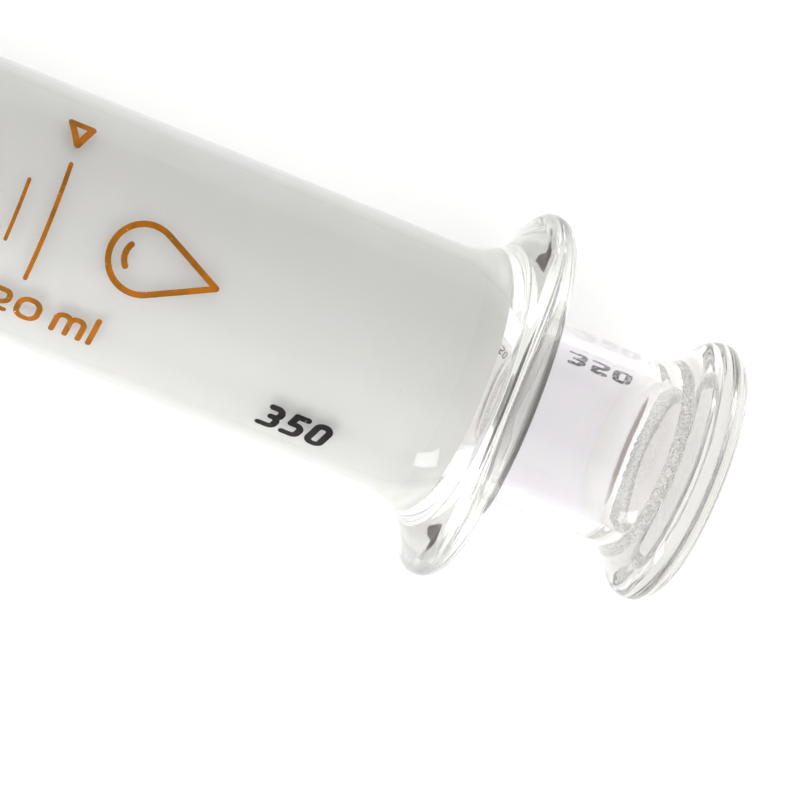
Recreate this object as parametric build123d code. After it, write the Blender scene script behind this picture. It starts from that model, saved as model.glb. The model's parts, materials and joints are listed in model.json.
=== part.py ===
"""All-glass syringe of 20 ml: a ground-glass barrel, its matching hollow plunger and their fired markings.

Frame: millimetres. X runs along the common axis, from the nozzle towards the thumb knob. The origin is on
the axis at the zero plane, the flat front end of the bore. +Z is up, through the middle of the scale, so the
syringe lies on its side with the scale on top. The plunger is pushed fully home.
"""
from build123d import *
import math
import os

# Barrel -------------------------------------------------------------------------------------------------
CAPACITY_ML = 20
BORE_DIAMETER = 20.8
BARREL_WALL = 1.3
LAST_MARK_TO_REAR_FACE = 44.8      # unmarked grip length behind the 20 ml line
FRONT_WALL = 2.0                   # glass between the zero plane and the front face
FRONT_EDGE_RADIUS = 1.8
BORE_CORNER_RADIUS = 0.6
MOUTH_FLARE_RADIUS = 0.8           # fire-polished mouth of the bore

# Finger flange at the barrel's rear end: the tube flared out into a rounded rim
FLANGE_DIAMETER = 34.5
FLANGE_RIM_RADIUS = 1.48
FLANGE_FLARE_RADIUS = 5.6

# Conical slip nozzle, with the 6% taper shared by all such fittings
NOZZLE_LENGTH = 11.0
NOZZLE_TIP_DIAMETER = 3.95
NOZZLE_TAPER = 0.06                # change of diameter per millimetre of length
NOZZLE_ROOT_FILLET = 1.5
NOZZLE_CHANNEL_DIAMETER = 1.8
NOZZLE_TIP_FILLET = 0.3
CHANNEL_MOUTH_FILLET = 0.4

# Plunger: a ground body that fits the bore, a narrower neck, and a flared knob ---------------------------
PLUNGER_RADIAL_CLEARANCE = 0.02
PLUNGER_WALL = 1.5
NOSE_THICKNESS = 2.0
NOSE_EDGE_RADIUS = 1.0
BODY_SHORT_OF_REAR_FACE = 5.4      # the ground body ends this far inside the flange when fully home
SHOULDER_SLOPE = 50.0              # degrees to the axis, where the body narrows to the neck
SHOULDER_ROUNDING = 0.9            # share of the sloping stretch that its two roundings take up
NECK_DIAMETER = 17.1
NECK_WALL = 1.55
KNOB_DIAMETER = 24.6
KNOB_RIM_RADIUS = 2.13
KNOB_FLARE_RADIUS = 4.75
KNOB_REAR_PROUD = 19.4             # knob's rear face behind the flange's rear face when fully home
KNOB_END_THICKNESS = 2.8
KNOB_HOLLOW_FLARE = 0.7            # the hollow widens by this much on the radius inside the knob
KNOB_HOLLOW_FLARE_LENGTH = 4.0
HOLLOW_CORNER_RADIUS = 0.6

# Fired enamel markings ----------------------------------------------------------------------------------
ENAMEL_THICKNESS = 0.03
SCALE_NUMBER_EVERY_ML = 5
MAJOR_LINE_LENGTH = 11.35          # lengths and heights are measured round the glass
MINOR_LINE_LENGTH = 5.9
MAJOR_LINE_WIDTH = 0.40
MINOR_LINE_WIDTH = 0.34
NUMERAL_HEIGHT = 2.75
NUMERAL_WIDTH = 2.4
NUMERAL_STROKE = 0.52
NUMERAL_GAP = 0.45
NUMERAL_OFFSET = -8.45             # from the scale's centre line to the numerals' centre line
UNIT_GAP = 1.1                     # between the number 20 and its unit
UNIT_M_WIDTH = 3.0
UNIT_L_HEIGHT = 3.3
INDEX_HEIGHT = 2.9
INDEX_WIDTH = 2.6
INDEX_STROKE = 0.62
INDEX_OFFSET = 8.6
EMBLEM_LENGTH = 10.4
EMBLEM_WIDTH = 6.7
EMBLEM_STROKE = 0.55
EMBLEM_BEHIND_LAST_MARK = 10.6
PAIRING_DIGITS = "350"
PAIRING_HEIGHT = 3.15
PAIRING_DIGIT_WIDTH = 1.85
PAIRING_STROKE = 0.64
PAIRING_GAP = 0.38
PAIRING_SLANT = 10.0               # degrees of lean of the pairing number
BARREL_PAIRING_TO_REAR_FACE = 17.7
BARREL_PAIRING_OFFSET = -9.7
PLUNGER_PAIRING_BEHIND_FLANGE = 8.1
PLUNGER_PAIRING_ANGLE = 119.0      # degrees round from the top, towards +Y

# Worked out from the above ------------------------------------------------------------------------------
BORE_RADIUS = BORE_DIAMETER / 2
BARREL_RADIUS = BORE_RADIUS + BARREL_WALL
MM_PER_ML = 1000 / (math.pi * BORE_RADIUS**2)
LAST_MARK_X = CAPACITY_ML * MM_PER_ML
BARREL_REAR_X = LAST_MARK_X + LAST_MARK_TO_REAR_FACE
FLANGE_RIM_X = BARREL_REAR_X - FLANGE_RIM_RADIUS
FLANGE_RING_RADIUS = FLANGE_DIAMETER / 2 - FLANGE_RIM_RADIUS
FRONT_X = -FRONT_WALL
NOZZLE_TIP_X = FRONT_X - NOZZLE_LENGTH
NOZZLE_TIP_RADIUS = NOZZLE_TIP_DIAMETER / 2
NOZZLE_ROOT_RADIUS = NOZZLE_TIP_RADIUS + NOZZLE_LENGTH * NOZZLE_TAPER / 2
CHANNEL_RADIUS = NOZZLE_CHANNEL_DIAMETER / 2

BODY_RADIUS = BORE_RADIUS - PLUNGER_RADIAL_CLEARANCE
BODY_HOLLOW_RADIUS = BODY_RADIUS - PLUNGER_WALL
BODY_END_X = BARREL_REAR_X - BODY_SHORT_OF_REAR_FACE
NECK_RADIUS = NECK_DIAMETER / 2
NECK_HOLLOW_RADIUS = NECK_RADIUS - NECK_WALL
KNOB_REAR_X = BARREL_REAR_X + KNOB_REAR_PROUD
KNOB_RIM_X = KNOB_REAR_X - KNOB_RIM_RADIUS
KNOB_RING_RADIUS = KNOB_DIAMETER / 2 - KNOB_RIM_RADIUS
HOLLOW_END_X = KNOB_REAR_X - KNOB_END_THICKNESS
HOLLOW_END_RADIUS = NECK_HOLLOW_RADIUS + KNOB_HOLLOW_FLARE


def flare_start_x(rim_x, ring_radius, rim_radius, tube_radius, flare_radius):
    """Where a tube starts to flare, for a flare arc that meets both the tube and the round rim smoothly."""
    rise = tube_radius + flare_radius - ring_radius
    return rim_x - math.sqrt((flare_radius + rim_radius) ** 2 - rise**2)


def flared_rim(rim_x, ring_radius, rim_radius, tube_radius, flare_radius):
    """The concave flare from a tube's outside and the round rim that follows it, as two arcs."""
    start_x = flare_start_x(rim_x, ring_radius, rim_radius, tube_radius, flare_radius)
    centre_y = tube_radius + flare_radius
    to_rim = math.degrees(math.atan2(ring_radius - centre_y, rim_x - start_x))
    flare = CenterArc((start_x, centre_y), flare_radius, -90, to_rim + 90)
    rim = CenterArc((rim_x, ring_radius), rim_radius, to_rim + 180, -(to_rim + 180))
    return [flare, rim]


def shoulder(x, radius_from, radius_to):
    """The two corners of the slope from the body down to the neck, and the radius that rounds them."""
    drop = radius_from - radius_to
    slope = math.radians(SHOULDER_SLOPE)
    corners = [(x, radius_from), (x + drop / math.tan(slope), radius_to)]
    rounding = SHOULDER_ROUNDING * drop / math.sin(slope) / (2 * math.tan(slope / 2))
    return corners, rounding


def turned(edges):
    """The solid that a closed outline in the XY plane sweeps round the X axis."""
    return revolve(make_face(Curve() + edges), Axis.X)


def barrel():
    """Nozzle, cylinder, bore and finger flange in one piece of glass."""
    rim_values = (FLANGE_RIM_X, FLANGE_RING_RADIUS, FLANGE_RIM_RADIUS, BARREL_RADIUS, FLANGE_FLARE_RADIUS)
    mouth_start_x = BARREL_REAR_X - MOUTH_FLARE_RADIUS
    mouth_radius = BORE_RADIUS + MOUTH_FLARE_RADIUS
    glass = FilletPolyline(
        (flare_start_x(*rim_values), BARREL_RADIUS),
        (FRONT_X, BARREL_RADIUS),
        (FRONT_X, NOZZLE_ROOT_RADIUS),
        (NOZZLE_TIP_X, NOZZLE_TIP_RADIUS),
        (NOZZLE_TIP_X, CHANNEL_RADIUS),
        (0, CHANNEL_RADIUS),
        (0, BORE_RADIUS),
        (mouth_start_x, BORE_RADIUS),
        radius=[
            FRONT_EDGE_RADIUS,
            NOZZLE_ROOT_FILLET,
            NOZZLE_TIP_FILLET,
            NOZZLE_TIP_FILLET,
            CHANNEL_MOUTH_FILLET,
            BORE_CORNER_RADIUS,
        ],
    )
    mouth = CenterArc((mouth_start_x, mouth_radius), MOUTH_FLARE_RADIUS, -90, 90)
    rear_face = Line((BARREL_REAR_X, mouth_radius), (BARREL_REAR_X, FLANGE_RING_RADIUS))
    return turned([glass, mouth, rear_face, *flared_rim(*rim_values)])


def plunger_outside():
    """The plunger's outer form as a solid: nose, ground body, neck and knob."""
    rim_values = (KNOB_RIM_X, KNOB_RING_RADIUS, KNOB_RIM_RADIUS, NECK_RADIUS, KNOB_FLARE_RADIUS)
    corners, rounding = shoulder(BODY_END_X, BODY_RADIUS, NECK_RADIUS)
    side = FilletPolyline(
        (0, 0),
        (0, BODY_RADIUS),
        *corners,
        (flare_start_x(*rim_values), NECK_RADIUS),
        radius=[NOSE_EDGE_RADIUS, rounding, rounding],
    )
    rear_face = Line((KNOB_REAR_X, KNOB_RING_RADIUS), (KNOB_REAR_X, 0))
    axis_line = Line((KNOB_REAR_X, 0), (0, 0))
    return turned([side, *flared_rim(*rim_values), rear_face, axis_line])


def plunger_hollow():
    """The sealed air space inside the plunger, which narrows at the neck and widens a little in the knob."""
    corners, rounding = shoulder(BODY_END_X, BODY_HOLLOW_RADIUS, NECK_HOLLOW_RADIUS)
    side = FilletPolyline(
        (NOSE_THICKNESS, 0),
        (NOSE_THICKNESS, BODY_HOLLOW_RADIUS),
        *corners,
        (HOLLOW_END_X - KNOB_HOLLOW_FLARE_LENGTH, NECK_HOLLOW_RADIUS),
        (HOLLOW_END_X, HOLLOW_END_RADIUS),
        (HOLLOW_END_X, 0),
        radius=[NOSE_EDGE_RADIUS, rounding, rounding, KNOB_HOLLOW_FLARE_LENGTH, HOLLOW_CORNER_RADIUS],
    )
    axis_line = Line((HOLLOW_END_X, 0), (NOSE_THICKNESS, 0))
    return turned([side, axis_line])


def plunger():
    """The plunger: one sealed, hollow piece of glass."""
    return plunger_outside() - plunger_hollow()


def stroke(points, width, corner=0.0):
    """A pen stroke of even width with round ends, along straight runs with rounded corners."""
    path = FilletPolyline(*points, radius=corner) if corner else Polyline(*points)
    return SlotArc(Wire(path.edges()), width)


def loop(points, width, corner):
    """A closed pen stroke of even width."""
    path = Wire(FilletPolyline(*points, radius=corner, close=True).edges())
    return make_face(path.offset_2d(width / 2)) - make_face(path.offset_2d(-width / 2))


def digit(name, width, height, pen, slant=0.0):
    """One digit drawn with a round pen, its overall size width by height, centred on the origin."""
    half_w = (width - pen) / 2
    half_h = (height - pen) / 2
    lean = math.tan(math.radians(slant))

    def at(x, y):
        return (x * half_w + y * half_h * lean, y * half_h)

    bowl = min(0.45 * half_h, 0.85 * half_w)
    if name == "0":
        return loop([at(-1, -1), at(1, -1), at(1, 1), at(-1, 1)], pen, 0.9 * min(half_w, half_h))
    if name == "1":
        flag = stroke([at(-0.5, 0.5), at(0.15, 1)], pen)
        return flag + stroke([at(0.15, 1), at(0.15, -1)], pen)
    if name == "2":
        top = stroke([at(-1, 0.5), at(-1, 1), at(1, 1), at(1, 0.05), at(-1, -1)], pen, bowl)
        return top + stroke([at(-1, -1), at(1, -1)], pen)
    if name == "3":
        top = stroke([at(-0.9, 1), at(0.9, 1), at(0.9, 0.08), at(-0.2, 0.08)], pen, bowl)
        return top + stroke([at(-0.2, 0.08), at(1, 0.08), at(1, -1), at(-1, -1)], pen, bowl)
    if name == "5":
        top = stroke([at(0.9, 1), at(-0.75, 1)], pen) + stroke([at(-0.75, 1), at(-0.8, 0.15)], pen)
        return top + stroke([at(-0.8, 0.15), at(1, 0.15), at(1, -1), at(-1, -1)], pen, bowl)
    raise ValueError(f"no stroke pattern for {name}")


def number(text, width, height, pen, gap, slant=0.0):
    """A row of digits centred on the origin."""
    step = width + gap
    first = -step * (len(text) - 1) / 2
    digits = [Pos(first + n * step, 0) * digit(c, width, height, pen, slant) for n, c in enumerate(text)]
    return Sketch() + digits


def unit_ml(left, pen):
    """The scale's unit, standing on the numerals' base line, with its left edge at the given place."""
    base = -(NUMERAL_HEIGHT - pen) / 2
    top = base + 0.92 * (NUMERAL_HEIGHT - pen)
    step = (UNIT_M_WIDTH - pen) / 2
    bow = 0.45 * step
    letters = []
    for n in range(2):
        x = left + pen / 2 + n * step
        letters.append(stroke([(x, base), (x, top), (x + step, top), (x + step, base)], pen, bow))
    x = left + UNIT_M_WIDTH + NUMERAL_GAP + pen / 2
    letters.append(stroke([(x, base), (x, base + UNIT_L_HEIGHT - pen)], pen))
    return Sketch() + letters


def scale_number(ml):
    """The number beside one of the long scale lines. The last one carries the unit as well."""
    text = str(ml)
    printed = number(text, NUMERAL_WIDTH, NUMERAL_HEIGHT, NUMERAL_STROKE, NUMERAL_GAP)
    if ml < CAPACITY_ML:
        return printed
    half_width = (len(text) * (NUMERAL_WIDTH + NUMERAL_GAP) - NUMERAL_GAP) / 2
    return printed + unit_ml(half_width + UNIT_GAP, NUMERAL_STROKE)


def drop_emblem():
    """A plain drop in outline, lying along the axis with its tip towards the knob, and one glint inside it."""
    radius = (EMBLEM_WIDTH - EMBLEM_STROKE) / 2
    tip_reach = EMBLEM_LENGTH - EMBLEM_STROKE - radius
    centre_x = -(EMBLEM_LENGTH - EMBLEM_STROKE) / 2 + radius
    tangent_angle = math.degrees(math.acos(radius / tip_reach))
    tip = (centre_x + tip_reach, 0)
    round_end = CenterArc((centre_x, 0), radius, tangent_angle, 360 - 2 * tangent_angle)
    sides = [stroke([tip, (point.X, point.Y)], EMBLEM_STROKE) for point in (round_end @ 0, round_end @ 1)]
    glint = CenterArc((centre_x, 0), 0.55 * radius, 150, 70)
    curves = [SlotArc(Wire(arc.edges()), EMBLEM_STROKE) for arc in (round_end, glint)]
    return Sketch() + sides + curves


def index_triangle():
    """A plain triangle in outline that points at the last scale line."""
    half_w = (INDEX_WIDTH - INDEX_STROKE) / 2
    half_h = (INDEX_HEIGHT - INDEX_STROKE) / 2
    corners = [(-half_w, half_h), (half_w, half_h), (0, -half_h)]
    return Sketch() + [stroke([corners[n - 1], corners[n]], INDEX_STROKE) for n in range(3)]


def fired_on(sketch, x, degrees, glass_radius):
    """Lays a flat marking on round glass: x along the axis, degrees round from the top towards +Y."""
    turn = math.radians(degrees)
    outward = Vector(0, math.sin(turn), math.cos(turn))
    place = Plane(origin=Vector(x, 0, 0) + outward * glass_radius, x_dir=(1, 0, 0), z_dir=outward)
    prism = extrude(place * sketch, glass_radius / 2, both=True)
    reach = sketch.bounding_box().size.X
    skin = Cylinder(glass_radius + ENAMEL_THICKNESS, 2 * reach) - Cylinder(glass_radius, 2 * reach)
    return Pos(x + sketch.bounding_box().center().X, 0, 0) * Rot(0, 90, 0) * skin & prism


def on_barrel(sketch, x, offset):
    """Lays a marking on the barrel, offset round the glass from the scale's centre line."""
    return fired_on(sketch, x, math.degrees(offset / BARREL_RADIUS), BARREL_RADIUS)


def scale_line(ml):
    """One line of the scale, square across the axis."""
    major = ml % SCALE_NUMBER_EVERY_ML == 0
    length = MAJOR_LINE_LENGTH if major else MINOR_LINE_LENGTH
    width = MAJOR_LINE_WIDTH if major else MINOR_LINE_WIDTH
    half_chord = BARREL_RADIUS * math.sin(length / 2 / BARREL_RADIUS) - width / 2
    return on_barrel(stroke([(0, -half_chord), (0, half_chord)], width), ml * MM_PER_ML, 0)


def pairing_number(x, degrees, glass_radius):
    """The number that keeps a barrel and its ground-in plunger together, printed on both."""
    values = (PAIRING_DIGIT_WIDTH, PAIRING_HEIGHT, PAIRING_STROKE, PAIRING_GAP, PAIRING_SLANT)
    return fired_on(number(PAIRING_DIGITS, *values), x, degrees, glass_radius)


def save(name, *shapes):
    """Writes one node. Separate solids of one node are kept as a group."""
    solids = [solid for shape in shapes for solid in shape.solids()]
    export_step(solids[0] if len(solids) == 1 else Compound(solids), f"parts/{name}.step")


os.makedirs("parts", exist_ok=True)
save("barrel", barrel())
save("plunger", plunger())

every_ml = range(1, CAPACITY_ML + 1)
numbered = [ml for ml in every_ml if ml % SCALE_NUMBER_EVERY_ML == 0]
save("major_scale_lines", *[scale_line(ml) for ml in numbered])
save("minor_scale_lines", *[scale_line(ml) for ml in every_ml if ml not in numbered])
for ml in numbered:
    save(f"scale_number_{ml}", on_barrel(scale_number(ml), ml * MM_PER_ML, NUMERAL_OFFSET))
save("index_triangle", on_barrel(index_triangle(), LAST_MARK_X, INDEX_OFFSET))
save("drop_emblem", on_barrel(drop_emblem(), LAST_MARK_X + EMBLEM_BEHIND_LAST_MARK, 0))

barrel_pairing_degrees = math.degrees(BARREL_PAIRING_OFFSET / BARREL_RADIUS)
barrel_pairing_x = BARREL_REAR_X - BARREL_PAIRING_TO_REAR_FACE
save("barrel_pairing_number", pairing_number(barrel_pairing_x, barrel_pairing_degrees, BARREL_RADIUS))
plunger_pairing_x = BARREL_REAR_X + PLUNGER_PAIRING_BEHIND_FLANGE
save("plunger_pairing_number", pairing_number(plunger_pairing_x, PLUNGER_PAIRING_ANGLE, NECK_RADIUS))
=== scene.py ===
"""Looks of the 20 ml all-glass syringe: clear and ground glass, fired enamel, pale floor and soft light.

Metres, in the frame of the CAD: X runs along the axis from the zero plane towards the knob, and +Z goes
through the scale.
"""
import json
import math

import bmesh
import bpy
from mathutils import Matrix, Vector, noise


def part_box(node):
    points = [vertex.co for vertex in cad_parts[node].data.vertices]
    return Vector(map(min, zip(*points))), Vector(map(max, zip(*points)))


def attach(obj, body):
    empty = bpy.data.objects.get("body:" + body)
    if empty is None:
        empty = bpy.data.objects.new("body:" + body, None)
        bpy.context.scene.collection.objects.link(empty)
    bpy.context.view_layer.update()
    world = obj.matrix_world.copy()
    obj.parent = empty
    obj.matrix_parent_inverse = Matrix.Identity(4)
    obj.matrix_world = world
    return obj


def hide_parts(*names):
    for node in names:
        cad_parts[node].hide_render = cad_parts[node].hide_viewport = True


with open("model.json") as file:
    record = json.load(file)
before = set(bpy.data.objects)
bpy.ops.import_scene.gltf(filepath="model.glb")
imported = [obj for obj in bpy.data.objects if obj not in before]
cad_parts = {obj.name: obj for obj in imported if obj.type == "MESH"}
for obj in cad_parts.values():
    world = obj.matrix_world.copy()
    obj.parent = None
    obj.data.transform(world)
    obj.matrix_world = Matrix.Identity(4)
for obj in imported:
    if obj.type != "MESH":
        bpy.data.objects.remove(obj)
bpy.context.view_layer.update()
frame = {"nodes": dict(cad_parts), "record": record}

MM = 0.001
# The glass, in millimetres. The lengths that the frame gives are read from it.
barrel_low, barrel_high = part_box("barrel")
plunger_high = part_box("plunger")[1]
mounts = {m["name"]: m for m in frame["record"]["mounts"]}
BARREL_RADIUS = mounts["barrel_grip"]["dims"]["r_mm"]
TIP_X = barrel_low.x / MM
REAR_X = barrel_high.x / MM
FLANGE_RADIUS = barrel_high.y / MM
KNOB_X = plunger_high.x / MM
KNOB_RADIUS = plunger_high.y / MM
BORE_RADIUS = 10.4
FRONT_WALL = 2.0
FRONT_EDGE_RADIUS = 1.8
BORE_CORNER_RADIUS = 0.6
MOUTH_FLARE = 0.8
GROUND_BORE_END = 3.0           # ahead of the flange's rear face
NOZZLE_TIP_RADIUS = 1.975
NOZZLE_ROOT_RADIUS = 2.305
CHANNEL_RADIUS = 0.9
NOZZLE_ROOT_FILLET = 1.5
NOZZLE_TIP_FILLET = 0.3
CHANNEL_MOUTH_FILLET = 0.4
FLANGE_RIM = 1.48
FLANGE_FLARE = 5.6
BODY_RADIUS = 10.38
BODY_END = 5.4                  # ahead of the flange's rear face
SLOPE = math.radians(50.0)
SHOULDER_ROUNDING = 0.9         # share of the slope that its two roundings take up
PLUNGER_WALL = 1.5
NOSE_THICKNESS = 2.0
NOSE_EDGE_RADIUS = 1.0
NECK_RADIUS = 8.55
NECK_HOLLOW_RADIUS = 7.0
KNOB_RIM = 2.13
KNOB_FLARE = 4.75
KNOB_END_THICKNESS = 2.8
HOLLOW_FLARE = 0.7
HOLLOW_FLARE_LENGTH = 4.0
HOLLOW_FRONT_RADIUS = 1.0
HOLLOW_END_RADIUS = 0.6
NOSE_GAP = 0.04                 # air between the nose and the zero plane

SEGMENTS = 360
ARC_STEP = math.radians(6.0)
LONGEST_RUN = 4.0               # between two rings of the mesh
SEAM_RUN = 0.25

# The zones of the glass, in millimetres. The numbers are places in a piece's list of materials.
CLEAR, GROUND, THICK, END, CRACKLED = 0, 1, 2, 3, 4
THICK_FLANGE_START = 97.0
THICK_KNOB_START = 114.0
SEAM_INNER_RADIUS = 6.3
SEAM_LENGTH = 1.9               # along the hollow, up to its end
SEAM_RELIEF = 0.11
SEAM_PITCHES = (1.9, 3.6)       # of the relief, per millimetre
SEAM_MARGIN = 1.0
BORE_MARGIN = 0.02
BODY_MARGIN = 0.01
END_MARGIN = 0.05
NECK_MARGIN = 0.1

# Materials
GLASS_IOR = 1.5
GROUND_TRANSMISSION = 0.12
BORE_TRANSMISSION = 0.2
SEAM_TRANSMISSION = 0.6
ENAMEL_GLOSS = 0.1
CLEAR_TINT = (0.955, 0.957, 0.95)
GREEN_TINT = (0.93, 0.94, 0.92)
LILAC_TINT = (0.86, 0.845, 0.865)
NECK_TINT = (0.885, 0.87, 0.887)
THICK_TINT = (0.90, 0.905, 0.88)
THICK_DEEP_TINT = (0.86, 0.865, 0.83)
# The knob's thick glass: its own tint, made darker and browner with painted shade for the shadowed floor
# seen through it.
KNOB_TINT_AND_PAINTED_SHADE = (0.82, 0.815, 0.79)
KNOB_DEEP_TINT_AND_PAINTED_SHADE = (0.78, 0.775, 0.735)
# The knob's end face: a dark brownish tint that is painted shade, for the shadowed floor seen edge-on
# through the end.
END_PAINTED_SHADE = (0.72, 0.685, 0.66)
END_DEEP_PAINTED_SHADE = (0.68, 0.64, 0.61)
BODY_TINT = (0.68, 0.676, 0.668)
BODY_DEEP_TINT = (0.65, 0.646, 0.638)
GROUND_TINT = (0.99, 0.985, 0.975)
GROUND_DEEP_TINT = (0.97, 0.965, 0.95)
SPECK = (0.12, 0.09, 0.07)
AMBER_TONES = ((0.23, 0.085, 0.003), (0.36, 0.112, 0.003))
BLACK_TONES = ((0.008, 0.007, 0.007), (0.018, 0.016, 0.016))
BORE_MATT = 0.62                # roughness seen squarely
BORE_SHINE = 0.12               # roughness seen along the surface
BORE_SLANTS = (0.25, 0.33)      # between these the one turns into the other
PRINT_WEAR = 0.3
NECK_PRINT_WEAR = 0.5

# Camera: lens and sensor in millimetres, roll in degrees
SENSOR = 36.0
LENS = 243.73
CAMERA_PLACE = (5.11, 8.03, 473.39)
CAMERA_AIM = (95.213, -3.268, 0.0)
CAMERA_ROLL = 22.093

# Floor and light
FLOOR_RADIUS = 1.5              # metres
FLOOR_GAP = 0.00002             # metres
FLOOR_GLOW = 0.22
FLOOR_TONES = ((0.90, 0.90, 0.90), (0.93, 0.93, 0.93))
LIGHT = 1.0
# Patches of the surroundings: centre azimuth and elevation, half width and half height, all in degrees, then
# the softness of the edge and the colour. Azimuth 0 is +X, 90 is +Y.
SKY = (1.15, 1.15, 1.15)
PATCHES = [
    ((0, 90), (180, 35), 12, (1.32, 1.32, 1.33)),       # ceiling round the camera
    ((0, 8), (50, 26), 14, (0.50, 0.45, 0.41)),         # room behind the knob
    ((90, 20), (60, 26), 14, (1.00, 1.00, 0.98)),       # weaker light past the upper side
    ((255, 38), (50, 22), 10, (1.9, 1.9, 1.88)),        # broad light from the lower side
    ((243, 12), (15, 8), 1.0, (7.0, 7.0, 6.9)),         # softbox at the lower left
]


# Lathe ---------------------------------------------------------------------------------------------------
def arc(centre, radius, start, end):
    """Points along an arc, angles in radians, both ends included."""
    steps = max(2, math.ceil(abs(end - start) / ARC_STEP))
    turns = [start + (end - start) * n / steps for n in range(steps + 1)]
    return [(centre[0] + radius * math.cos(t), centre[1] + radius * math.sin(t)) for t in turns]


def rounded(corners, radii):
    """A path through the corners, where each inner corner is rounded to its radius."""
    path = [corners[0]]
    for before, corner, after, radius in zip(corners, corners[1:], corners[2:], radii):
        a = Vector(before) - Vector(corner)
        b = Vector(after) - Vector(corner)
        half = a.angle(b) / 2
        centre = Vector(corner) + (a.normalized() + b.normalized()).normalized() * radius / math.sin(half)
        reach = radius / math.tan(half)
        first = Vector(corner) + a.normalized() * reach - centre
        last = Vector(corner) + b.normalized() * reach - centre
        start = math.atan2(first.y, first.x)
        sweep = math.atan2(first.x * last.y - first.y * last.x, first.dot(last))
        path += arc(centre, radius, start, start + sweep)
    return path + [corners[-1]]


def flared_rim(rim_x, outer_radius, rim, tube_radius, flare):
    """The flare from a tube's outside and the round rim after it."""
    ring = outer_radius - rim
    rise = tube_radius + flare - ring
    run = math.sqrt((flare + rim) ** 2 - rise**2)
    to_rim = math.atan2(-rise, run)
    path = arc((rim_x - run, tube_radius + flare), flare, -math.pi / 2, to_rim)
    return path + arc((rim_x, ring), rim, to_rim + math.pi, 0)


def divided(path):
    """The path with no repeated points, and with its long runs divided."""
    out = [path[0]]
    for point in path[1:]:
        gap = (Vector(point) - Vector(out[-1])).length
        if gap < 1e-5:
            continue
        fine = on_seam(*point) or on_seam(*out[-1])
        steps = math.ceil(gap / (SEAM_RUN if fine else LONGEST_RUN))
        start = Vector(out[-1])
        out += [tuple(start.lerp(Vector(point), n / steps)) for n in range(1, steps + 1)]
    return out


def lathe(name, loops, zone, relief):
    """A mesh turned round the X axis. Each loop is a path of (x, radius) with the glass on its right.

    relief gives how far a point of the surface lies nearer to the axis than its path says, in millimetres.
    """
    bm = bmesh.new()
    for path, closed in loops:
        path = divided(path)
        rings = []
        for x, radius in path:
            if radius < 1e-6:
                rings.append([bm.verts.new((x * MM, 0, 0))])
                continue
            ring = []
            for n in range(SEGMENTS):
                turn = 2 * math.pi * n / SEGMENTS
                r = radius - relief(x, radius, turn)
                ring.append(bm.verts.new((x * MM, r * MM * math.sin(turn), r * MM * math.cos(turn))))
            rings.append(ring)
        pairs = list(zip(rings, rings[1:]))
        if closed:
            pairs.append((rings[-1], rings[0]))
        for a, b in pairs:
            for n in range(SEGMENTS):
                m = (n + 1) % SEGMENTS
                quad = [a[n % len(a)], b[n % len(b)], b[m % len(b)], a[m % len(a)]]
                corners = list(dict.fromkeys(quad))
                face = bm.faces.new(corners)
                face.smooth = True
                centre = face.calc_center_median()
                face.material_index = zone(centre.x / MM, math.hypot(centre.y, centre.z) / MM)
    mesh = bpy.data.meshes.new(name)
    bm.to_mesh(mesh)
    bm.free()
    piece = bpy.data.objects.new(name, mesh)
    bpy.context.scene.collection.objects.link(piece)
    return piece


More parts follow.
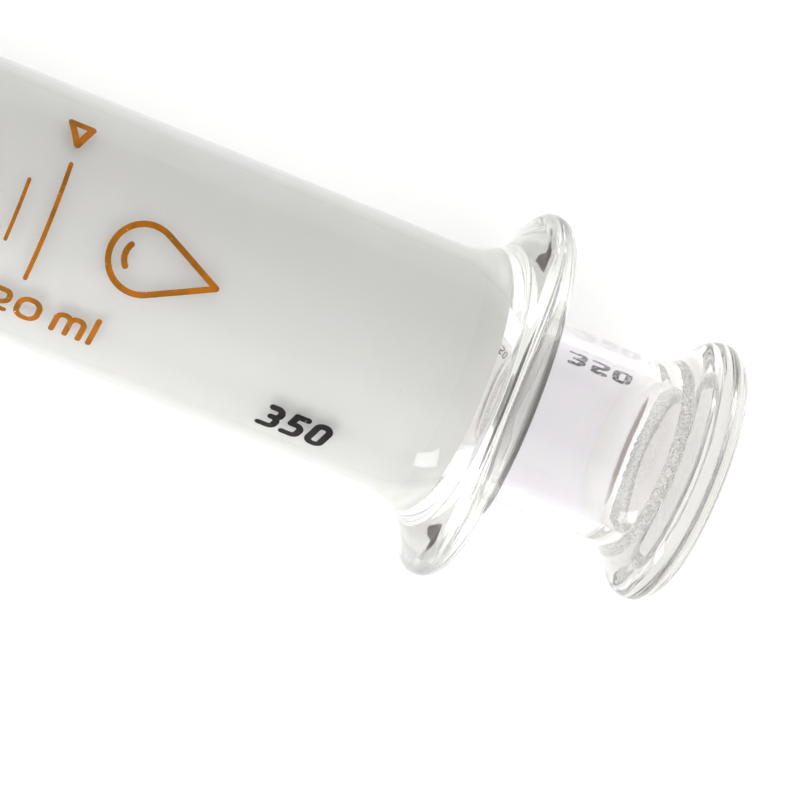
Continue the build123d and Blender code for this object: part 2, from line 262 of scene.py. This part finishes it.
# Materials -----------------------------------------------------------------------------------------------
class Nodes:
    """Short calls for the nodes of one material."""

    def __init__(self, name):
        self.material = bpy.data.materials.new(name)
        self.material.use_nodes = True
        self.tree = self.material.node_tree
        self.shader = self.tree.nodes["Principled BSDF"]
        coordinates = self.tree.nodes.new("ShaderNodeTexCoord")
        scale = self.tree.nodes.new("ShaderNodeVectorMath")
        scale.operation = "SCALE"
        scale.inputs["Scale"].default_value = 1 / MM
        self.tree.links.new(coordinates.outputs["Object"], scale.inputs[0])
        self.place = scale.outputs[0]

    def link(self, source, target):
        self.tree.links.new(source, target)

    def noise(self, size, detail=2.0, stretch=(1, 1, 1)):
        """Smooth noise whose features are about size millimetres wide."""
        vector = self.tree.nodes.new("ShaderNodeVectorMath")
        vector.operation = "MULTIPLY"
        vector.inputs[1].default_value = [k / size for k in stretch]
        self.link(self.place, vector.inputs[0])
        node = self.tree.nodes.new("ShaderNodeTexNoise")
        node.inputs["Scale"].default_value = 1.0
        node.inputs["Detail"].default_value = detail
        self.link(vector.outputs[0], node.inputs["Vector"])
        return node.outputs["Fac"]

    def specks(self, spacing, radius, share):
        """1 inside small round specks, 0 elsewhere. Only a share of the cells of that spacing
        holds a speck."""
        node = self.tree.nodes.new("ShaderNodeTexVoronoi")
        node.inputs["Scale"].default_value = 1 / spacing
        self.link(self.place, node.inputs["Vector"])
        near = self.fit(node.outputs["Distance"], radius / spacing, 0.6 * radius / spacing, 0, 1)
        chosen = self.fit(node.outputs["Color"], share, 0.8 * share, 0, 1)
        return self.math("MULTIPLY", near, chosen)

    def fit(self, value, low, high, out_low, out_high):
        node = self.tree.nodes.new("ShaderNodeMapRange")
        node.interpolation_type = "SMOOTHSTEP"
        for socket, number in zip(node.inputs[1:5], (low, high, out_low, out_high)):
            socket.default_value = number
        self.link(value, node.inputs[0])
        return node.outputs[0]

    def math(self, operation, a, b):
        node = self.tree.nodes.new("ShaderNodeMath")
        node.operation = operation
        for socket, value in zip(node.inputs, (a, b)):
            if isinstance(value, (int, float)):
                socket.default_value = value
            else:
                self.link(value, socket)
        return node.outputs[0]

    def mix(self, factor, a, b):
        node = self.tree.nodes.new("ShaderNodeMix")
        node.data_type = "RGBA"
        self.link(factor, node.inputs["Factor"])
        for socket, value in zip((node.inputs["A"], node.inputs["B"]), (a, b)):
            self.colour(socket, value)
        return node.outputs["Result"]

    def colour(self, socket, value):
        if isinstance(value, tuple):
            socket.default_value = (*value, 1)
        else:
            self.link(value, socket)

    def bump(self, height, depth, below=None):
        """Relief of that depth in millimetres."""
        node = self.tree.nodes.new("ShaderNodeBump")
        node.inputs["Distance"].default_value = depth * MM
        self.link(height, node.inputs["Height"])
        if below:
            self.link(below, node.inputs["Normal"])
        return node.outputs["Normal"]

    def finish(self, colour, roughness, normal):
        self.colour(self.shader.inputs["Base Color"], colour)
        self.link(roughness, self.shader.inputs["Roughness"])
        self.link(normal, self.shader.inputs["Normal"])
        return self.material


def clear_glass(name, tint, deep_tint):
    """Hand-worked clear glass: a little wavy, with fine dust specks and a few smudges."""
    n = Nodes(name)
    n.shader.inputs["Transmission Weight"].default_value = 1.0
    n.shader.inputs["IOR"].default_value = GLASS_IOR
    # For the knob and its end face, tint and deep_tint carry painted shade as well as the glass's own
    # colour.
    tone = n.mix(n.fit(n.noise(9.0), 0.35, 0.65, 0, 1), tint, deep_tint)
    colour = n.mix(n.specks(2.3, 0.11, 0.1), tone, SPECK)
    smudge = n.fit(n.noise(4.0, 5.0, (0.4, 1, 1)), 0.58, 0.75, 0.0, 0.09)
    wave = n.bump(n.noise(6.0, 1.0, (0.25, 1, 1)), 0.05)
    normal = n.bump(n.noise(1.1, 3.0), 0.003, wave)
    return n.finish(colour, smudge, normal)


def ground_glass(name):
    """Glass ground matt with abrasive: fine grain, and faint rings from turning on the grinding spindle."""
    n = Nodes(name)
    n.shader.inputs["Transmission Weight"].default_value = GROUND_TRANSMISSION
    n.shader.inputs["IOR"].default_value = GLASS_IOR
    cloud = n.noise(5.0, 4.0)
    tone = n.mix(n.fit(cloud, 0.3, 0.7, 0, 1), BODY_TINT, BODY_DEEP_TINT)
    colour = n.mix(n.specks(2.9, 0.1, 0.08), tone, SPECK)
    roughness = n.fit(n.noise(0.6, 4.0), 0.3, 0.7, 0.62, 0.78)
    rings = n.noise(0.5, 1.0, (1, 0.02, 0.02))
    normal = n.bump(n.noise(0.09, 3.0), 0.004, n.bump(rings, 0.004))
    return n.finish(colour, roughness, normal)


def ground_bore(name):
    """The finely ground bore: matt seen squarely, and mirror-like seen along its surface."""
    n = Nodes(name)
    n.shader.inputs["Transmission Weight"].default_value = BORE_TRANSMISSION
    n.shader.inputs["IOR"].default_value = GLASS_IOR
    tone = n.mix(n.fit(n.noise(5.0, 3.0), 0.3, 0.7, 0, 1), GROUND_TINT, GROUND_DEEP_TINT)
    slant = n.tree.nodes.new("ShaderNodeLayerWeight")
    slant.inputs["Blend"].default_value = 0.5
    roughness = n.fit(slant.outputs["Facing"], *BORE_SLANTS, BORE_MATT, BORE_SHINE)
    return n.finish(tone, roughness, n.bump(n.noise(0.5, 2.0, (1, 0.02, 0.02)), 0.003))


def crackled_glass(name, tint):
    """The seam where the hollow was closed in the flame: a rough, glittering ring."""
    n = Nodes(name)
    n.shader.inputs["Transmission Weight"].default_value = SEAM_TRANSMISSION
    n.shader.inputs["IOR"].default_value = GLASS_IOR
    tone = n.mix(n.fit(n.noise(0.5), 0.4, 0.6, 0, 1), tint, GROUND_TINT)
    roughness = n.fit(n.noise(0.4, 2.0), 0.35, 0.65, 0.05, 0.5)
    normal = n.bump(n.noise(0.32, 2.0), 0.36)
    return n.finish(tone, roughness, normal)


def enamel(name, tones, wear):
    """Fired ceramic ink: uneven tone, a slightly grainy skin, small bare spots."""
    n = Nodes(name)
    n.shader.inputs["Specular IOR Level"].default_value = ENAMEL_GLOSS
    tone = n.mix(n.fit(n.noise(1.6, 3.0), 0.35, 0.65, 0, 1), *tones)
    grain = n.noise(0.12, 3.0)
    bare = n.fit(n.noise(0.35, 4.0), 1 - wear, 1 - 0.8 * wear, 0, 1)
    colour = n.mix(bare, tone, GROUND_TINT)
    roughness = n.fit(grain, 0.3, 0.7, 0.32, 0.52)
    return n.finish(colour, roughness, n.bump(grain, 0.012))


# Pieces --------------------------------------------------------------------------------------------------
def barrel_zone(x, radius):
    if 0 < x < REAR_X - GROUND_BORE_END and abs(radius - BORE_RADIUS) < BORE_MARGIN:
        return GROUND
    return THICK if x > THICK_FLANGE_START else CLEAR


def plunger_zone(x, radius):
    if x < REAR_X - BODY_END and abs(radius - BODY_RADIUS) < BODY_MARGIN:
        return GROUND
    if on_seam(x, radius):
        return CRACKLED
    # The end face gets its own material, whose tint is painted shade.
    if x > KNOB_X - END_MARGIN:
        return END
    # The knob's thick glass gets the knob material, whose tint is partly painted shade.
    return THICK if x > THICK_KNOB_START and radius > NECK_RADIUS - NECK_MARGIN else CLEAR


def on_seam(x, radius):
    end = KNOB_X - KNOB_END_THICKNESS
    along = end - SEAM_LENGTH < x < end + END_MARGIN
    return along and SEAM_INNER_RADIUS < radius < NECK_HOLLOW_RADIUS + SEAM_MARGIN


def smooth(x, radius, turn):
    """No relief."""
    return 0.0


def plunger_relief(x, radius, turn):
    """The melted unevenness of the seam."""
    if not on_seam(x, radius):
        return 0.0
    place = Vector((x, radius * math.sin(turn), radius * math.cos(turn)))
    return SEAM_RELIEF * sum(noise.noise(place * pitch) for pitch in SEAM_PITCHES)


def barrel():
    front = -FRONT_WALL
    flare = flared_rim(REAR_X - FLANGE_RIM, FLANGE_RADIUS, FLANGE_RIM, BARREL_RADIUS, FLANGE_FLARE)
    mouth = REAR_X - MOUTH_FLARE
    inside_out = rounded(
        [
            flare[0],
            (front, BARREL_RADIUS),
            (front, NOZZLE_ROOT_RADIUS),
            (TIP_X, NOZZLE_TIP_RADIUS),
            (TIP_X, CHANNEL_RADIUS),
            (0, CHANNEL_RADIUS),
            (0, BORE_RADIUS),
            (REAR_X - GROUND_BORE_END, BORE_RADIUS),
        ],
        [
            FRONT_EDGE_RADIUS,
            NOZZLE_ROOT_FILLET,
            NOZZLE_TIP_FILLET,
            NOZZLE_TIP_FILLET,
            CHANNEL_MOUTH_FILLET,
            BORE_CORNER_RADIUS,
        ],
    )
    lip = arc((mouth, BORE_RADIUS + MOUTH_FLARE), MOUTH_FLARE, -math.pi / 2, 0)
    path = inside_out + lip + flare[::-1][:-1]
    return lathe("barrel_glass", [(path[::-1], True)], barrel_zone, smooth)


def plunger():
    def slope(x, high, low):
        drop = high - low
        rounding = SHOULDER_ROUNDING * drop / math.sin(SLOPE) / (2 * math.tan(SLOPE / 2))
        return [(x, high), (x + drop / math.tan(SLOPE), low)], rounding

    flare = flared_rim(KNOB_X - KNOB_RIM, KNOB_RADIUS, KNOB_RIM, NECK_RADIUS, KNOB_FLARE)
    corners, rounding = slope(REAR_X - BODY_END, BODY_RADIUS, NECK_RADIUS)
    side = rounded(
        [(NOSE_GAP, 0), (NOSE_GAP, BODY_RADIUS), *corners, flare[0]],
        [NOSE_EDGE_RADIUS, rounding, rounding],
    )
    outside = side + flare[1:] + [(KNOB_X, 0)]
    corners, rounding = slope(REAR_X - BODY_END, BODY_RADIUS - PLUNGER_WALL, NECK_HOLLOW_RADIUS)
    end = KNOB_X - KNOB_END_THICKNESS
    hollow = rounded(
        [
            (NOSE_THICKNESS, 0),
            (NOSE_THICKNESS, BODY_RADIUS - PLUNGER_WALL),
            *corners,
            (end - HOLLOW_FLARE_LENGTH, NECK_HOLLOW_RADIUS),
            (end, NECK_HOLLOW_RADIUS + HOLLOW_FLARE),
            (end, 0),
        ],
        [HOLLOW_FRONT_RADIUS, rounding, rounding, HOLLOW_FLARE_LENGTH, HOLLOW_END_RADIUS],
    )
    hollow.insert(-1, (end, SEAM_INNER_RADIUS))
    return lathe("plunger_glass", [(outside, False), (hollow[::-1], False)], plunger_zone, plunger_relief)


def place_glass(piece, body, materials):
    for material in materials:
        piece.data.materials.append(material)
    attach(piece, body)
    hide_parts(body)


def colour_prints():
    amber = enamel("amber_enamel", AMBER_TONES, PRINT_WEAR)
    black = enamel("black_enamel", BLACK_TONES, PRINT_WEAR)
    worn_black = enamel("worn_black_enamel", BLACK_TONES, NECK_PRINT_WEAR)
    prints = {"barrel_pairing_number": black, "plunger_pairing_number": worn_black}
    for name in sorted(frame["nodes"]):
        if name not in ("barrel", "plunger"):
            print_mesh = frame["nodes"][name].data
            print_mesh.materials.clear()
            print_mesh.materials.append(prints.get(name, amber))


# Camera --------------------------------------------------------------------------------------------------
def place_camera():
    camera = bpy.data.objects.new("camera", bpy.data.cameras.new("camera"))
    bpy.context.scene.collection.objects.link(camera)
    camera.data.sensor_width = SENSOR
    camera.data.lens = LENS
    camera.location = Vector(CAMERA_PLACE) * MM
    look = (Vector(CAMERA_AIM) * MM - camera.location).normalized()
    right = look.cross(Vector((0, 1, 0))).normalized()
    up = right.cross(look)
    c = math.cos(math.radians(CAMERA_ROLL))
    s = math.sin(math.radians(CAMERA_ROLL))
    right, up = c * right + s * up, -s * right + c * up
    camera.rotation_mode = "QUATERNION"
    camera.rotation_quaternion = Matrix((right, up, -look)).transposed().to_quaternion()
    camera.data.clip_start = 0.01
    camera.data.clip_end = 10.0
    bpy.context.scene.camera = camera


# Floor and light -----------------------------------------------------------------------------------------
def floor_paper():
    paper = Nodes("floor_paper")
    grain = paper.noise(0.8, 3.0)
    paper.shader.inputs["Emission Color"].default_value = (1, 1, 1, 1)
    paper.shader.inputs["Emission Strength"].default_value = FLOOR_GLOW
    tone = paper.mix(grain, *FLOOR_TONES)
    return paper.finish(tone, paper.fit(grain, 0, 1, 0.85, 0.95), paper.bump(grain, 0.01))


def place_floor():
    """A round sheet, tilted so that the flange's rim and the barrel's front edge rest on it."""
    front_centre = Vector((-FRONT_WALL + FRONT_EDGE_RADIUS, 0, -(BARREL_RADIUS - FRONT_EDGE_RADIUS)))
    rim_centre = Vector((REAR_X - FLANGE_RIM, 0, -(FLANGE_RADIUS - FLANGE_RIM)))
    between = rim_centre - front_centre
    slope = math.atan2(between.z, between.x) - math.asin((FLANGE_RIM - FRONT_EDGE_RADIUS) / between.length)
    down = Vector((math.sin(slope), 0, -math.cos(slope)))
    touch = (rim_centre + down * FLANGE_RIM) * MM
    floor_mesh = bpy.data.meshes.new("floor")
    bm = bmesh.new()
    bmesh.ops.create_circle(bm, cap_ends=True, radius=FLOOR_RADIUS, segments=64)
    bm.to_mesh(floor_mesh)
    bm.free()
    floor = bpy.data.objects.new("floor", floor_mesh)
    bpy.context.scene.collection.objects.link(floor)
    floor.location = touch + down * FLOOR_GAP
    floor.rotation_euler = (0, -slope, 0)
    floor.data.materials.append(floor_paper())


def surroundings():
    """The sky colour with the patches laid over it, in their order."""
    world = bpy.data.worlds.new("studio")
    bpy.context.scene.world = world
    world.use_nodes = True
    tree = world.node_tree
    direction = tree.nodes.new("ShaderNodeTexCoord").outputs["Generated"]

    def math_node(operation, a, b=0.0, c=0.0):
        node = tree.nodes.new("ShaderNodeMath")
        node.operation = operation
        for socket, value in zip(node.inputs, (a, b, c)):
            if isinstance(value, (int, float)):
                socket.default_value = value
            else:
                tree.links.new(value, socket)
        return node.outputs[0]

    def inside(angle, half, soft):
        node = tree.nodes.new("ShaderNodeMapRange")
        node.interpolation_type = "SMOOTHSTEP"
        low = math.radians(half + soft)
        high = math.radians(half - soft)
        for socket, number in zip(node.inputs[1:5], (low, high, 0, 1)):
            socket.default_value = number
        tree.links.new(math_node("ABSOLUTE", angle), node.inputs[0])
        return node.outputs[0]

    colour = None
    for (azimuth, elevation), (half_width, half_height), soft, tone in PATCHES:
        turn = tree.nodes.new("ShaderNodeVectorRotate")
        turn.rotation_type = "Z_AXIS"
        turn.inputs["Angle"].default_value = -math.radians(azimuth)
        tree.links.new(direction, turn.inputs["Vector"])
        parts = tree.nodes.new("ShaderNodeSeparateXYZ")
        tree.links.new(turn.outputs[0], parts.inputs[0])
        across = math_node("ARCTAN2", parts.outputs["Y"], parts.outputs["X"])
        height = math_node("SUBTRACT", math_node("ARCSINE", parts.outputs["Z"]), math.radians(elevation))
        mask = inside(height, half_height, soft)
        if half_width < 180:
            mask = math_node("MULTIPLY", mask, inside(across, half_width, soft))
        mix = tree.nodes.new("ShaderNodeMix")
        mix.data_type = "RGBA"
        tree.links.new(mask, mix.inputs["Factor"])
        if colour is None:
            mix.inputs["A"].default_value = (*SKY, 1)
        else:
            tree.links.new(colour, mix.inputs["A"])
        mix.inputs["B"].default_value = (*tone, 1)
        colour = mix.outputs["Result"]
    tree.links.new(colour, tree.nodes["Background"].inputs["Color"])
    tree.nodes["Background"].inputs["Strength"].default_value = LIGHT


def light_paths():
    """Enough bounces for light to pass all the walls of glass."""
    bpy.context.scene.view_settings.view_transform = "Standard"
    cycles = bpy.context.scene.cycles
    cycles.max_bounces = 48
    cycles.transmission_bounces = 48
    cycles.glossy_bounces = 12
    cycles.diffuse_bounces = 6
    cycles.transparent_max_bounces = 16


# The scene -----------------------------------------------------------------------------------------------
place_glass(
    barrel(),
    "barrel",
    [
        clear_glass("barrel_clear", CLEAR_TINT, GREEN_TINT),
        ground_bore("barrel_ground"),
        clear_glass("barrel_flange", THICK_TINT, THICK_DEEP_TINT),
    ],
)
place_glass(
    plunger(),
    "plunger",
    [
        clear_glass("plunger_clear", NECK_TINT, LILAC_TINT),
        ground_glass("plunger_ground"),
        # The knob's tint is partly painted shade.
        clear_glass("plunger_knob_and_painted_shade", KNOB_TINT_AND_PAINTED_SHADE, KNOB_DEEP_TINT_AND_PAINTED_SHADE),
        # The end face's tint is painted shade.
        clear_glass("plunger_end_painted_shade", END_PAINTED_SHADE, END_DEEP_PAINTED_SHADE),
        crackled_glass("plunger_seam", CLEAR_TINT),
    ],
)
colour_prints()
place_camera()
place_floor()
surroundings()
light_paths()
